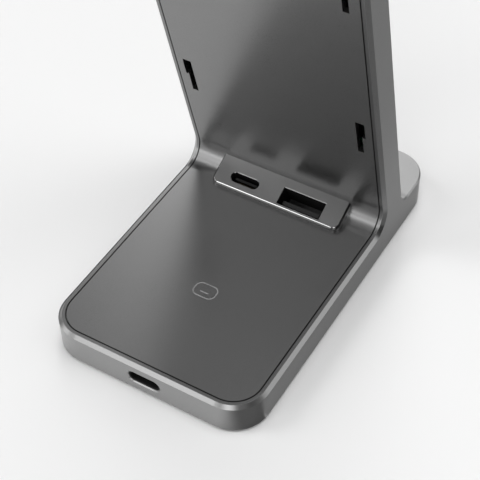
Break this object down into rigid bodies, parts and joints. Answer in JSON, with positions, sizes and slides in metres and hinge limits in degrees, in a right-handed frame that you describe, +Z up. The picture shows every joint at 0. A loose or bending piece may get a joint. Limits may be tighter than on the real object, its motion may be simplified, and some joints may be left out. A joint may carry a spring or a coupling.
{
  "type": "wireless charging stand",
  "caption": "Desk charger with a flat earbud charging pad, a leaning phone upright with a ledge behind it, a power inlet and a sloping block of outlets at the bend.",
  "frame": {"origin": "on the desk under the middle of the base, at the underside of the rubber strips", "axes": "+Z up, +Y from the pad end with the inlet to the foot, +X to the right seen from the pad end"},
  "size_m": [0.06, 0.1018, 0.1332],
  "materials": {
    "case_grey": "satin metallic lacquer on moulded plastic",
    "panel_grey": "satin metallic lacquer on moulded plastic, darker",
    "block_grey": "fine matt grain",
    "dark_nickel": "dark nickel plate",
    "insulator_black": "moulded black",
    "insulator_grey": "moulded dark grey",
    "contact_gold": "gold plate",
    "foot_rubber": "matt",
    "board_green": "solder mask",
    "chip_black": "moulded epoxy",
    "inductor_grey": "pressed powder",
    "capacitor_ochre": "moulded epoxy",
    "coil_copper": "enamelled wire",
    "ferrite_grey": "sintered sheet",
    "ribbon_film": "flat film cable",
    "socket_white": "moulded",
    "weight_steel": "cut plate",
    "screw_steel": "zinc plate"
  },
  "bodies": {
    "root": {"housing": "case_grey", "panel": "panel_grey", "port_block": "block_grey", "inlet_shell": "dark_nickel", "usb_a_shell": "dark_nickel", "usb_c_shell": "dark_nickel", "inlet_tongue": "insulator_black", "usb_a_tongue": "insulator_grey", "usb_c_tongue": "insulator_black", "inlet_contacts": "contact_gold", "usb_a_contacts": "contact_gold", "usb_c_contacts": "contact_gold", "rubber_feet": "foot_rubber", "main_board": "board_green", "port_board": "board_green", "phone_board": "board_green", "main_chips": "chip_black", "phone_chips": "chip_black", "power_inductors": "inductor_grey", "main_capacitors": "capacitor_ochre", "earbud_coil": "coil_copper", "phone_coil": "coil_copper", "earbud_ferrite": "ferrite_grey", "phone_ferrite": "ferrite_grey", "link_ribbon": "ribbon_film", "ribbon_sockets": "socket_white", "ballast": "weight_steel", "board_screws": "screw_steel"}
  },
  "joints": []
}
